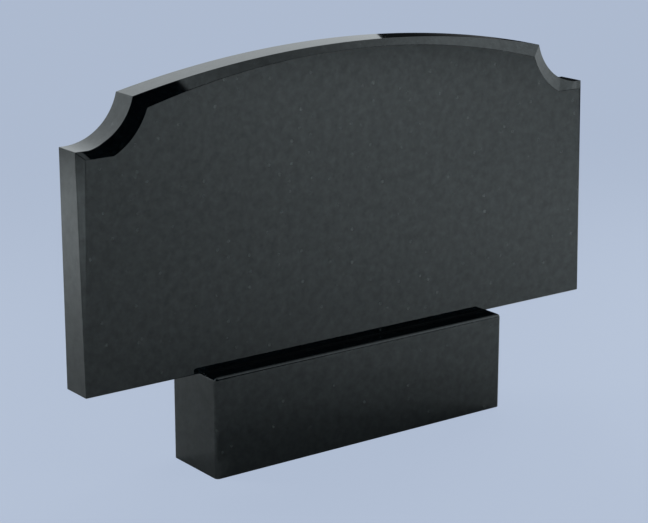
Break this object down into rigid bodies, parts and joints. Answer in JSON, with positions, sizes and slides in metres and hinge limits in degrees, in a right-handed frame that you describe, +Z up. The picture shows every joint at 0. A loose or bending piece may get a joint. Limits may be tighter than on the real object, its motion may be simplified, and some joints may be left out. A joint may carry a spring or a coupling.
{
  "type": "headstone",
  "caption": "Low arched headstone of polished black gabbro with scooped shoulders and a bevelled front edge, standing upright on a plain block base.",
  "frame": {"origin": "centre of the base's underside, on the ground it stands on", "axes": "+X along the front from the reader's left to the right, -Y out of the front face towards the reader, +Z up"},
  "size_m": [1.2, 0.15, 0.7883],
  "materials": {
    "polished_gabbro": "polished"
  },
  "bodies": {
    "root": {"base": "polished_gabbro", "stele": "polished_gabbro"}
  },
  "joints": []
}
